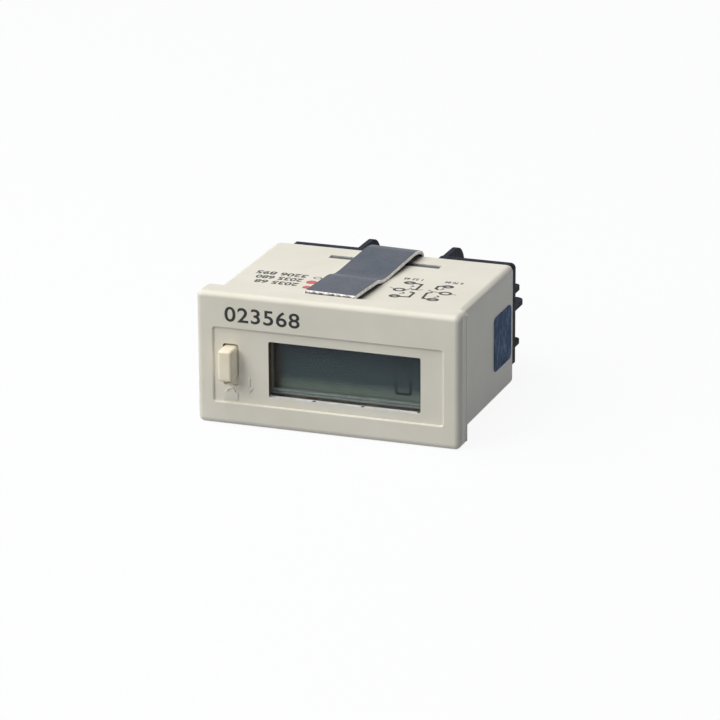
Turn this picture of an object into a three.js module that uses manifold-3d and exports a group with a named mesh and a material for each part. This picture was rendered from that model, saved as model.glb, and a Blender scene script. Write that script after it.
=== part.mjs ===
// A panel-mount totalizing counter: a cream moulded case with a liquid crystal display, a reset button that
// slides to a lock position, a steel mounting clip on top and a black block with four screw terminals behind.
//
// Millimetres. While the pieces are made, x runs to the right as seen from the front, y into the panel and
// z up, with y = 0 on the rear plane of the bezel and z = 0 at mid-height. The last lines move the whole
// counter so that its origin is the middle of its outer box, at the bottom.

import * as THREE from "three";
import { mergeVertices } from "three/addons/utils/BufferGeometryUtils.js";
import Module from "manifold-3d";

const wasm = await Module();
wasm.setup();

// Clearances
const seatGap = 0.1; // between two pieces that rest on each other
const guideGap = 0.15; // between a moving piece and what guides it
const cutOver = 1; // how far a cut runs past the face it opens

// Case: bezel, body, front recess, window
const bezelWidth = 48;
const bezelHeight = 24;
const bezelDepth = 4.2;
const bezelEdgeRound = 0.8;
const bezelCorner = 0.5;
const bodyWidth = 44.8;
const bodyHeight = 22;
const bodyDepth = 30;
const bodyCorner = 0.9;
const sideWall = 1.4;
const frontWall = 1.6;
const recessWidth = 41.9;
const recessTop = 5.6; // above mid-height
const recessBottom = -7.8;
const recessDepth = 0.4;
const recessCorner = 0.4;
const windowWidth = 27.7;
const windowHeight = 10.1;
const windowX = 3; // centre of the window
const windowZ = -1.2;
const windowCorner = 0.3;

// Button slot in the front
const slotWidth = 2.9;
const slotHeight = 7.55;
const slotX = -17.85;
const slotZ = -1.02;
const slotCorner = 0.5;

// Cross slot in the top of the case, for the clip
const clipSlotWidth = 20.7;
const clipSlotLength = 1.8;
const clipSlotX = 0.3; // centre of the slot
const clipSlotY = 24.9;

// Lens
const lensInset = 1; // below the floor of the recess
const lensFit = 0.12; // round the lens in its window
const lensLap = 1; // of the flange behind the wall
const lensFlange = 0.9;

// Display cell and its holder
const lcdFaceDepth = 3.6; // behind the front of the bezel
const glassThickness = 1;
const frontGlassWidth = 31.4;
const frontGlassHeight = 14;
const rearGlassHeight = 10.3;
const reflectorThickness = 0.2;
const reflectorMargin = 0.4;
const frameWall = 1;
const frameRim = 0.5;
const frameLedge = 0.75; // of its lower rim into the view
const zebraHeight = 1.4;
const zebraLength = 28;

// Boards
const boardThickness = 1.2;
const displayBoardY = 4; // its front face
const displayBoardWidth = 41.4;
const displayBoardHeight = 18.6;
const mainBoardTop = -6;
const mainBoardWidth = 38.8;
const boardSpace = 0.3; // between the two boards, and behind the main one
const railDepth = 0.7; // of the ribs that stop the display board
const railThickness = 1.2;
const ledgeDepth = 2.2; // of the ribs that carry the main board
const ledgeThickness = 0.8;

// Parts on the boards
const chipSize = 10;
const chipThickness = 1.5;
const chipX = 9;
const chipZ = 1.6;
const chipCorner = 0.4;
const crystalRadius = 1.1;
const crystalLength = 6.5;
const crystalX = -6;
const crystalZ = 1;
const headerLength = 12;
const headerSide = 2;
const headerPins = 5;
const headerPinWidth = 0.6;
const capacitorRadius = 2;
const capacitorHeight = 7;
const capacitorX = 16.3;
const capacitorY = [11.5, 17.5];
const capacitorGroove = 0.3;

// Battery
const cellRadius = 7.25;
const cellLength = 25;
const cellX = -3;
const cellY = 15;
const cellGroove = 0.35;
const cellGrooveInset = 1.4; // from the end of the cell to the bottom of its groove
const tabWidth = 5;
const tabThickness = 0.3;
const tabFoot = 3;

// Reset button, its guide plate, spring and contact
const buttonWidth = 2.6;
const buttonHeight = 5.75;
const buttonZ = -0.475; // centre of the button in its upper, free position
const buttonRise = 3.1; // out of the recess
const buttonRound = 0.3;
const buttonFlange = 0.75; // thickness of its collar
const buttonFlangeLap = 0.45;
const buttonStemRadius = 1.1;
const sliderThickness = 0.8;
const sliderTop = 4.2;
const sliderBottom = -5.6;
const sliderOuter = 2.85; // from the slot's centre to the plate's left edge
const sliderInner = 2.6; // and to its right edge
const guideRib = 0.8;
const pillLength = 0.7;
const pressTravel = 1;
const springWire = 0.3;
const springRadius = 1.5;
const springTurns = 6;
const springSides = 5;
const springSteps = 10; // per turn

// Mounting clip
const clipX = 0.5; // of the clip where its tab goes through the slot
const clipThickness = 0.65;
const clipWidth = 9.3;
const clipSkew = -3.4; // degrees about z, turned at the slot
const clipFront = 0.45; // behind the bezel
const clipLipClear = 0.15; // from the lip's edge to the case
const clipPlateauRise = 1.3; // top of the front plateau above the case
const clipPlateauEnd = 9.6;
const clipDipStart = 13.8;
const clipDipRise = 0.72;
const clipDipEnd = 16;
const clipCrestReach = 2.1; // from the middle of the slot to the crest
const clipCrestRise = 1.64;
const clipLipRound = 0.45;
const clipCurlLead = 2.6; // of the crest's level run into the curl
const clipCurlReach = 6.25; // from the middle of the slot to the curl's back
const clipCurlShoulder = 0.75; // of its back below the crest
const clipCurlDrop = 1.95; // of its end below the crest
const clipCurlBack = 0.4; // of its end in front of its back
const clipTabWidth = 6;
const clipTabRadius = 0.45;
const clipHookDepth = 2; // of the hook's centre line below the top of the case
const clipHookReach = 2.4; // from the middle of the slot forwards
const clipCrossWidth = 17.6;
const clipCrossTop = 0.15; // below the top of the case
const clipCrossBottom = 2.25;

// Side label
const labelLength = 9.6;
const labelHeight = 10;
const labelY = 24.2;
const labelZ = -0.65;
const labelCorner = 1;
const labelThickness = 0.1;
const labelGap = 0.02;

// Terminal block
const blockPlug = 3; // how far it goes into the case
const plugGap = 0.2;
const plateThickness = 1.7;
const plateBottom = -7.4;
const plateCutWidth = 3.5; // of the step in the upper left corner of the plate
const plateCutHeight = 1.2;
const notchBottom = 6.4; // of the notch behind the clip
const notchLeft = -5.6; // its left end; it runs to the right face of the right wall
const wallX = 8;
const wallTop = 9.8;
const wallThickness = 1;
const wallReach = 13.2; // of the upright walls behind the plate
const wallRound = 4.5;
const barrierThickness = 0.9;
const barrierX = 20.75; // outer end of the cross barriers
const barrierReach = 10.7;
const barrierRound = 1.6;
const barrierZ = 0.78;
const ribReach = 3.1;
const ribStart = 18.9;
const ribRound = 1;
const snapHeight = 0.5;
const snapWidth = 5;
const snapLength = 1;
const snapX = 15.5;

// Terminals
const terminalX = 15;
const terminalRise = 5; // of each terminal from the cross barrier
const contactSize = 6.3;
const contactThickness = 1;
const clampSize = 6.4;
const clampThickness = 1;
const clampLip = 0.45; // thickness and height of its two turned-up edges
const clampOpen = 2.1; // between clamp and contact as delivered, with the screw backed out
const clampTight = 0.3; // and with the screw tight
const screwRadius = 1.5;
const screwHole = 0.15; // round the screw in the contact and the clamp
const screwWell = 0.4; // round the screw in the block
const screwLength = 6;
const screwHeadRadius = 2.6;
const screwHeadHeight = 2;
const screwHeadRound = 0.5;
const screwSlotWidth = 0.7;
const screwSlotLength = 3.4;
const screwSlotDepth = 1;
const leadWidth = 1.5;
const leadThickness = 0.8;
const leadSide = 2.2; // from the screw's centre to the lead's, sideways
const leadRise = 2.4; // and upwards
const leadDrop = 1.3; // in front of the block, where the lead turns down
const leadSlotGap = 0.2;

// How finely round shapes are divided
const arcSteps = 6;
const roundSides = 24;
const edgeSteps = 3;

// Places worked out from the sizes above
const frontY = -bezelDepth;
const recessY = frontY + recessDepth;
const cavityY = frontY + frontWall;
const caseTop = bodyHeight / 2;
const caseSide = bodyWidth / 2;
const innerTop = caseTop - sideWall;
const innerSide = caseSide - sideWall;
const lcdY = frontY + lcdFaceDepth;
const displayBoardRear = displayBoardY + boardThickness;
const mainBoardFront = displayBoardRear + boardSpace;
const blockY = bodyDepth; // the block's plate starts where the case ends
const plateRear = blockY + plateThickness;
const plugFront = blockY - blockPlug;
const mainBoardRear = plugFront - boardSpace;
const contactY = plateRear + seatGap;
const clampY = contactY + contactThickness + clampOpen;
const headY = clampY + clampThickness + seatGap;
const tightTipY = headY - screwLength - (clampOpen - clampTight);
const terminals = [
  { side: 1, up: 1 },
  { side: 1, up: -1 },
  { side: -1, up: 1 },
  { side: -1, up: -1 },
].map(({ side, up }, i) => ({
  number: i + 1,
  side,
  up,
  x: side * terminalX,
  z: barrierZ + up * terminalRise,
}));

// Solids

function solid(geometry) {
  const plain = geometry.index ? geometry.toNonIndexed() : geometry;
  plain.deleteAttribute("normal");
  plain.deleteAttribute("uv");
  const merged = mergeVertices(plain, 1e-4);
  return new wasm.Manifold(
    new wasm.Mesh({
      numProp: 3,
      vertProperties: new Float32Array(merged.attributes.position.array),
      triVerts: new Uint32Array(merged.index.array),
    }),
  );
}

const join = (first, ...rest) => rest.reduce((a, b) => a.add(b), first);
const cut = (first, ...rest) => rest.reduce((a, b) => a.subtract(b), first);

// A box between two limits on each axis.
function slab([x0, x1], [y0, y1], [z0, z1]) {
  const box = new THREE.BoxGeometry(x1 - x0, y1 - y0, z1 - z0);
  return solid(box.translate((x0 + x1) / 2, (y0 + y1) / 2, (z0 + z1) / 2));
}

const around = (centre, size) => [centre - size / 2, centre + size / 2];

// A rectangle with round corners.
function roundedRect([a0, a1], [b0, b1], radius) {
  const r = Math.min(radius, (a1 - a0) / 2, (b1 - b0) / 2);
  const shape = new THREE.Shape();
  shape.absarc(a1 - r, b1 - r, r, 0, Math.PI / 2);
  shape.absarc(a0 + r, b1 - r, r, Math.PI / 2, Math.PI);
  shape.absarc(a0 + r, b0 + r, r, Math.PI, Math.PI * 1.5);
  shape.absarc(a1 - r, b0 + r, r, Math.PI * 1.5, Math.PI * 2);
  return shape;
}

const extruded = (shape, depth, more = {}) =>
  new THREE.ExtrudeGeometry(shape, { depth, bevelEnabled: false, curveSegments: arcSteps, ...more });

// A shape drawn in x and z, run from y0 to y1.
const alongY = (shape, y0, y1) =>
  solid(extruded(shape, y1 - y0).rotateX(Math.PI / 2).translate(0, y1, 0));

// A shape drawn in y and z, run from x0 to x1.
const toX = new THREE.Matrix4().makeBasis(
  new THREE.Vector3(0, 1, 0),
  new THREE.Vector3(0, 0, 1),
  new THREE.Vector3(1, 0, 0),
);
const alongX = (shape, x0, x1) => solid(extruded(shape, x1 - x0).applyMatrix4(toX).translate(x0, 0, 0));

const rodY = (radius, x, [y0, y1], z, sides = roundSides) =>
  solid(new THREE.CylinderGeometry(radius, radius, y1 - y0, sides).translate(x, (y0 + y1) / 2, z));

// A body turned about an axis along y: its profile gives radius and y.
const turnedY = (profile, x, y, z) =>
  solid(new THREE.LatheGeometry(profile, roundSides).translate(x, y, z));

// A profile point: radius, then place along the axis.
const at = (radius, along) => new THREE.Vector2(radius, along);

// The pieces, each a named mesh

const counter = new THREE.Group();
const shell = new THREE.Group(); // holds every piece while it is placed by the bezel's rear plane
counter.add(shell);

const finishes = {
  cream: { color: 0xe2dfd0, roughness: 0.55, metalness: 0 },
  button: { color: 0xeee6d4, roughness: 0.5, metalness: 0 },
  black: { color: 0x23262d, roughness: 0.6, metalness: 0 },
  lens: { color: 0xdfe8ea, roughness: 0.05, metalness: 0, transparent: true, opacity: 0.35 },
  glass: { color: 0x55605c, roughness: 0.15, metalness: 0 },
  reflector: { color: 0x8f968a, roughness: 0.4, metalness: 0.3 },
  grey: { color: 0x6e7078, roughness: 0.6, metalness: 0 },
  rubber: { color: 0x2a2a2c, roughness: 0.9, metalness: 0 },
  board: { color: 0x2f6b45, roughness: 0.6, metalness: 0 },
  steel: { color: 0x6a717c, roughness: 0.4, metalness: 0.8 },
  bright: { color: 0xc4c6c6, roughness: 0.35, metalness: 0.9 },
  brass: { color: 0xb9a878, roughness: 0.4, metalness: 0.9 },
  sleeve: { color: 0x3d6f9c, roughness: 0.5, metalness: 0 },
  foil: { color: 0x38485c, roughness: 0.4, metalness: 0.3 },
};

function piece(name, body, finish, parent = shell) {
  const made = body.getMesh();
  const points = new Float32Array(made.numVert * 3);
  for (let i = 0; i < made.numVert; i += 1) {
    points.set(made.vertProperties.subarray(i * made.numProp, i * made.numProp + 3), i * 3);
  }
  const geometry = new THREE.BufferGeometry();
  geometry.setAttribute("position", new THREE.BufferAttribute(points, 3));
  geometry.setIndex(new THREE.BufferAttribute(new Uint32Array(made.triVerts), 1));
  geometry.computeVertexNormals();
  const material = new THREE.MeshStandardMaterial({ flatShading: true, ...finishes[finish] });
  const mesh = new THREE.Mesh(geometry, material);
  mesh.name = name;
  parent.add(mesh);
  return mesh;
}

// Case: the bezel's front edge is rounded, so its block is made with a bevel all round and cut flat behind.
function caseShell() {
  const r = bezelEdgeRound;
  const face = roundedRect(
    around(0, bezelWidth - 2 * r),
    around(0, bezelHeight - 2 * r),
    bezelCorner - r / 2,
  );
  const pillow = extruded(face, bezelDepth, {
    bevelEnabled: true,
    bevelSize: r,
    bevelThickness: r,
    bevelSegments: edgeSteps,
  });
  const bezel = cut(
    solid(pillow.rotateX(Math.PI / 2).translate(0, frontY + r + bezelDepth, 0)),
    slab(around(0, 2 * bezelWidth), [0, 2 * bezelDepth], around(0, 2 * bezelHeight)),
  );
  const body = alongY(
    roundedRect(around(0, bodyWidth), around(0, bodyHeight), bodyCorner),
    -bezelEdgeRound,
    bodyDepth,
  );
  const hollow = alongY(
    roundedRect(around(0, 2 * innerSide), around(0, 2 * innerTop), bodyCorner - sideWall / 2),
    cavityY,
    bodyDepth + cutOver,
  );
  const recess = alongY(
    roundedRect(around(0, recessWidth), [recessBottom, recessTop], recessCorner),
    frontY - cutOver,
    recessY,
  );
  const window = alongY(
    roundedRect(around(windowX, windowWidth), around(windowZ, windowHeight), windowCorner),
    frontY - cutOver,
    cavityY + cutOver,
  );
  const slot = alongY(
    roundedRect(around(slotX, slotWidth), around(slotZ, slotHeight), slotCorner),
    frontY - cutOver,
    cavityY + cutOver,
  );
  const clipSlot = slab(
    around(clipSlotX, clipSlotWidth),
    around(clipSlotY, clipSlotLength),
    [innerTop - cutOver, caseTop + cutOver],
  );
  const snapGrooves = [-1, 1].flatMap((side) =>
    [-1, 1].map((up) =>
      slab(
        around(side * snapX, snapWidth + 2 * seatGap),
        around(plugFront + blockPlug / 2, snapLength + 2 * seatGap),
        around(up * innerTop, 2 * snapHeight),
      ),
    ),
  );
  const shellWall = cut(join(bezel, body), hollow, recess, window, slot, clipSlot, ...snapGrooves);
  // Ribs inside: two that the display board stops on, two ledges under the main board, one beside the slider.
  const stopY = displayBoardY - seatGap;
  const ribs = [-1, 1].flatMap((side) => [
    slab(
      around(side * innerSide, 2 * railDepth),
      [stopY - railThickness, stopY],
      around(0, 2 * innerTop + sideWall),
    ),
    slab(
      around(side * innerSide, 2 * ledgeDepth),
      [mainBoardFront, plugFront - boardSpace],
      around(mainBoardTop - boardThickness - seatGap - ledgeThickness / 2, ledgeThickness),
    ),
  ]);
  const sliderRib = slab(
    [slotX + sliderInner + guideGap, slotX + sliderInner + guideGap + guideRib],
    [cavityY - frontWall / 2, cavityY + 2 * sliderThickness],
    [sliderBottom, sliderTop],
  );
  // The ribs reach into the wall that carries them, and stay inside the case's outline.
  const outline = alongY(
    roundedRect(around(0, bodyWidth), around(0, bodyHeight), bodyCorner),
    recessY,
    bodyDepth,
  );
  return join(shellWall, join(...ribs, sliderRib).intersect(outline));
}
piece("case_shell", caseShell(), "cream");

// Lens: a nose that fills the window and a flange behind the front wall.
function displayLens() {
  const noseY = recessY + lensInset;
  const flangeY = cavityY + seatGap;
  const nose = alongY(
    roundedRect(
      around(windowX, windowWidth - 2 * lensFit),
      around(windowZ, windowHeight - 2 * lensFit),
      windowCorner,
    ),
    noseY,
    flangeY + lensFlange,
  );
  return join(
    nose,
    slab(
      around(windowX, windowWidth + 2 * lensLap),
      [flangeY, flangeY + lensFlange],
      around(windowZ, windowHeight + 2 * lensLap),
    ),
  );
}
piece("display_lens", displayLens(), "lens");

// Display cell: a tall front glass and a lower rear glass, so that the front one has bare contact edges.
const rearGlassY = lcdY + glassThickness + seatGap;
const reflectorY = rearGlassY + glassThickness + seatGap;
const zebraY = lcdY + glassThickness + seatGap;
const boardFace = displayBoardY - seatGap;

piece(
  "lcd_front_glass",
  slab(around(windowX, frontGlassWidth), [lcdY, lcdY + glassThickness], around(windowZ, frontGlassHeight)),
  "glass",
);
piece(
  "lcd_rear_glass",
  slab(
    around(windowX, frontGlassWidth),
    [rearGlassY, rearGlassY + glassThickness],
    around(windowZ, rearGlassHeight),
  ),
  "glass",
);
piece(
  "lcd_reflector",
  slab(
    around(windowX, frontGlassWidth - 2 * reflectorMargin),
    [reflectorY, reflectorY + reflectorThickness],
    around(windowZ, rearGlassHeight - 2 * reflectorMargin),
  ),
  "reflector",
);
const zebraOffset = rearGlassHeight / 2 + seatGap + zebraHeight / 2;
for (const [name, up] of [["zebra_strip_top", 1], ["zebra_strip_bottom", -1]]) {
  piece(
    name,
    slab(
      around(windowX, zebraLength),
      [zebraY, boardFace],
      around(windowZ + up * zebraOffset, zebraHeight),
    ),
    "rubber",
  );
}

// Holder: an open box round the cell, with a rim in front of the glass that frames the view.
function displayFrame() {
  const pocketWidth = frontGlassWidth + 2 * guideGap;
  const pocketHeight = frontGlassHeight + 2 * guideGap;
  const rimRear = lcdY - seatGap;
  const outer = slab(
    around(windowX, pocketWidth + 2 * frameWall),
    [rimRear - frameRim, boardFace],
    around(windowZ, pocketHeight + 2 * frameWall),
  );
  const pocket = slab(
    around(windowX, pocketWidth),
    [rimRear, boardFace + cutOver],
    around(windowZ, pocketHeight),
  );
  const view = slab(
    around(windowX, windowWidth),
    [rimRear - frameRim - cutOver, rimRear + cutOver],
    [windowZ - windowHeight / 2 + frameLedge, windowZ + windowHeight / 2],
  );
  return cut(outer, pocket, view);
}
piece("display_frame", displayFrame(), "grey");

// Boards, held by the ribs and by the block's plug behind.
piece(
  "display_board",
  slab(
    around(0, displayBoardWidth),
    [displayBoardY, displayBoardRear],
    around(0, displayBoardHeight),
  ),
  "board",
);
piece(
  "main_board",
  slab(
    around(0, mainBoardWidth),
    [mainBoardFront, mainBoardRear],
    [mainBoardTop - boardThickness, mainBoardTop],
  ),
  "board",
);

piece(
  "driver_chip",
  alongY(
    roundedRect(around(chipX, chipSize), around(chipZ, chipSize), chipCorner),
    displayBoardRear + seatGap,
    displayBoardRear + seatGap + chipThickness,
  ),
  "black",
);

function crystalCan() {
  const can = new THREE.CylinderGeometry(crystalRadius, crystalRadius, crystalLength, roundSides);
  const y = displayBoardRear + seatGap + crystalRadius;
  return solid(can.rotateX(Math.PI / 2).translate(crystalX, y, crystalZ));
}
piece("crystal_can", crystalCan(), "bright");

// Pin strip that joins the two boards at their corner.
function boardHeader() {
  const y = displayBoardRear + seatGap + headerSide / 2;
  const z = mainBoardTop + seatGap + headerSide / 2;
  const strip = slab(
    around(0, headerLength),
    around(y + headerSide / 2, headerSide),
    around(z, headerSide),
  );
  const pitch = headerLength / headerPins;
  const pins = Array.from({ length: headerPins }, (_, i) =>
    slab(
      around((i - (headerPins - 1) / 2) * pitch, headerPinWidth),
      [displayBoardRear + seatGap, y + headerSide / 2],
      around(z, headerPinWidth),
    ),
  );
  return join(strip, ...pins);
}
piece("board_header", boardHeader(), "black");

// Capacitors stand on the main board beside the cell, each with the groove of its rolled can.
function capacitor(y) {
  const r = capacitorRadius;
  const g = capacitorGroove;
  const h = capacitorHeight;
  const profile = [
    at(0, 0),
    at(r, 0),
    at(r, 2 * g),
    at(r - g, 3 * g),
    at(r, 4 * g),
    at(r, h - g),
    at(r - g, h),
    at(0, h),
  ];
  const can = new THREE.LatheGeometry(profile, roundSides).rotateX(Math.PI / 2);
  return solid(can.translate(capacitorX, y, mainBoardTop + seatGap));
}
piece("capacitor_front", capacitor(capacitorY[0]), "sleeve");
piece("capacitor_rear", capacitor(capacitorY[1]), "sleeve");

// Battery: a round cell lying across the case, with a welded tab at each end that stands on the main board.
const cellZ = mainBoardTop + seatGap + cellRadius;
function batteryCell() {
  const r = cellRadius;
  const g = cellGroove;
  const half = cellLength / 2;
  const profile = [
    at(0, -half),
    at(r - g, -half),
    at(r, g - half),
    at(r, half - cellGrooveInset - g),
    at(r - g, half - cellGrooveInset),
    at(r, half - cellGrooveInset + g),
    at(r, half - g),
    at(r - g, half),
    at(0, half),
  ];
  const cell = new THREE.LatheGeometry(profile, roundSides).rotateZ(-Math.PI / 2);
  return solid(cell.translate(cellX, cellY, cellZ));
}
piece("battery_cell", batteryCell(), "bright");

function batteryTab(side) {
  const start = cellX + side * (cellLength / 2 + seatGap);
  const low = mainBoardTop + seatGap;
  const ordered = (a, b) => [Math.min(a, b), Math.max(a, b)];
  const upright = slab(
    ordered(start, start + side * tabThickness),
    around(cellY, tabWidth),
    [low, cellZ + tabWidth / 2],
  );
  const foot = slab(
    ordered(start, start + side * tabFoot),
    around(cellY, tabWidth),
    [low, low + tabThickness],
  );
  return join(upright, foot);
}
piece("battery_tab_positive", batteryTab(1), "bright");
piece("battery_tab_negative", batteryTab(-1), "bright");

// Reset button: a head in the slot, a collar behind the guide plate, and a stem that carries the contact.
const sliderY = cavityY + guideGap;
const collarY = sliderY + sliderThickness + guideGap;
const collarRear = collarY + buttonFlange;
const pillRear = displayBoardY - guideGap - pressTravel;
const pillFront = pillRear - pillLength;

function resetButton() {
  const r = buttonRound;
  const face = roundedRect(around(slotX, buttonWidth - 2 * r), around(buttonZ, buttonHeight - 2 * r), r);
  const headFront = recessY - buttonRise;
  const headLength = collarRear - headFront;
  const pillow = extruded(face, headLength, {
    bevelEnabled: true,
    bevelSize: r,
    bevelThickness: r,
    bevelSegments: edgeSteps,
  });
  const head = cut(
    solid(pillow.rotateX(Math.PI / 2).translate(0, headFront + r + headLength, 0)),
    slab(
      around(slotX, 2 * slotWidth),
      [collarRear - seatGap, collarRear + cutOver],
      around(buttonZ, 2 * buttonHeight),
    ),
  );
  const collar = slab(
    around(slotX, buttonWidth + 2 * buttonFlangeLap),
    [collarY, collarRear],
    around(buttonZ, buttonHeight + 2 * buttonFlangeLap),
  );
  const stem = rodY(buttonStemRadius, slotX, [collarY, pillFront - seatGap], buttonZ);
  return join(head, collar, stem);
}
piece("reset_button", resetButton(), "button");

piece(
  "contact_pill",
  rodY(buttonStemRadius, slotX, [pillFront, pillRear], buttonZ),
  "rubber",
);

// Guide plate behind the slot: it slides up and down between the case's side wall and a rib.
function lockSlider() {
  const plate = slab(
    [slotX - sliderOuter, slotX + sliderInner],
    [sliderY, sliderY + sliderThickness],
    [sliderBottom, sliderTop],
  );
  const hole = slab(
    around(slotX, buttonWidth + 2 * guideGap),
    [sliderY - cutOver, sliderY + sliderThickness + cutOver],
    around(buttonZ, buttonHeight + 2 * guideGap),
  );
  return cut(plate, hole);
}
piece("lock_slider", lockSlider(), "cream");

// Return spring round the stem, from the collar to the display board.
class Helix extends THREE.Curve {
  getPoint(t, target = new THREE.Vector3()) {
    const angle = t * springTurns * 2 * Math.PI;
    const start = collarRear + seatGap + springWire / 2;
    const end = boardFace - springWire / 2;
    return target.set(
      slotX + springRadius * Math.cos(angle),
      start + t * (end - start),
      buttonZ + springRadius * Math.sin(angle),
    );
  }
}
function resetSpring() {
  const section = new THREE.Shape(
    Array.from({ length: springSides }, (_, i) => {
      const angle = (i / springSides) * 2 * Math.PI;
      return at((springWire / 2) * Math.cos(angle), (springWire / 2) * Math.sin(angle));
    }),
  );
  return solid(
    new THREE.ExtrudeGeometry(section, {
      extrudePath: new Helix(),
      steps: springTurns * springSteps,
      bevelEnabled: false,
    }),
  );
}
piece("reset_spring", resetSpring(), "bright");

// Mounting clip: a bent strip. From the front: a lip, a plateau, a joggle down, a long rise to the crest and a
// curl that hangs behind the case. A tab with two wings goes down through the slot to a hook under the wall.
function stripOutline(line, thickness) {
  const left = [];
  const right = [];
  line.forEach((point, i) => {
    const before = line[Math.max(i - 1, 0)];
    const after = line[Math.min(i + 1, line.length - 1)];
    const along = after.clone().sub(before).normalize();
    const aside = at(-along.y, along.x).multiplyScalar(thickness / 2);
    left.push(point.clone().add(aside));
    right.push(point.clone().sub(aside));
  });
  return new THREE.Shape([...left, ...right.reverse()]);
}

const clipCrestZ = caseTop + clipCrestRise - clipThickness / 2;

// The points of a path, without those that fall together.
const pointsOf = (path) =>
  path.getPoints(arcSteps).filter((p, i, all) => i === 0 || p.distanceTo(all[i - 1]) > clipThickness / 100);

function clipLine() {
  const t = clipThickness;
  const plateauZ = caseTop + clipPlateauRise - t / 2;
  const dipZ = caseTop + clipDipRise - t / 2;
  const lipY = clipFront + t / 2;
  const crestY = clipSlotY + clipCrestReach;
  const curlY = clipSlotY + clipCurlReach;
  const joggle = (clipDipStart - clipPlateauEnd) / 2;
  const settle = (clipDipEnd - clipDipStart) / 2;
  const path = new THREE.Path();
  path.moveTo(lipY, caseTop + clipLipClear);
  path.lineTo(lipY, plateauZ - clipLipRound);
  path.absarc(lipY + clipLipRound, plateauZ - clipLipRound, clipLipRound, Math.PI, Math.PI / 2, true);
  path.lineTo(clipPlateauEnd, plateauZ);
  path.bezierCurveTo(
    clipPlateauEnd + joggle,
    plateauZ,
    clipDipStart - joggle,
    dipZ,
    clipDipStart,
    dipZ,
  );
  path.quadraticCurveTo(
    clipDipStart + settle,
    dipZ,
    clipDipEnd,
    dipZ + ((clipCrestZ - dipZ) * settle) / (crestY - clipDipStart - settle),
  );
  path.lineTo(crestY, clipCrestZ);
  path.bezierCurveTo(
    crestY + clipCurlLead,
    clipCrestZ,
    curlY,
    clipCrestZ - clipCurlShoulder,
    curlY - clipCurlBack,
    clipCrestZ - clipCurlDrop,
  );
  return pointsOf(path);
}

function clipTabLine() {
  const hookZ = caseTop - clipHookDepth;
  const path = new THREE.Path();
  path.moveTo(clipSlotY, clipCrestZ - clipThickness / 2);
  path.lineTo(clipSlotY, hookZ + clipTabRadius);
  path.absarc(clipSlotY - clipTabRadius, hookZ + clipTabRadius, clipTabRadius, 0, -Math.PI / 2, true);
  path.lineTo(clipSlotY - clipHookReach, hookZ);
  return pointsOf(path);
}

function mountingClip() {
  const t = clipThickness;
  const bent = (line, width) => alongX(stripOutline(line, t), -width / 2, width / 2);
  const cross = slab(
    around(0, clipCrossWidth),
    around(clipSlotY, t),
    [caseTop - clipCrossBottom, caseTop - clipCrossTop],
  );
  return join(bent(clipLine(), clipWidth), bent(clipTabLine(), clipTabWidth), cross);
}
// The clip is turned a little about the tab, so its mesh is made with the tab on the z axis.
const clipGroup = new THREE.Group();
clipGroup.position.set(clipX, clipSlotY, 0);
clipGroup.rotation.z = THREE.MathUtils.degToRad(clipSkew);
shell.add(clipGroup);
piece("mounting_clip", mountingClip(), "steel", clipGroup).geometry.translate(0, -clipSlotY, 0);

// Label on the right side.
function sideLabel() {
  const outline = roundedRect(around(labelY, labelLength), around(labelZ, labelHeight), labelCorner);
  const x = caseSide + labelGap;
  return alongX(outline, x, x + labelThickness);
}
piece("side_label", sideLabel(), "foil");

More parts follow.
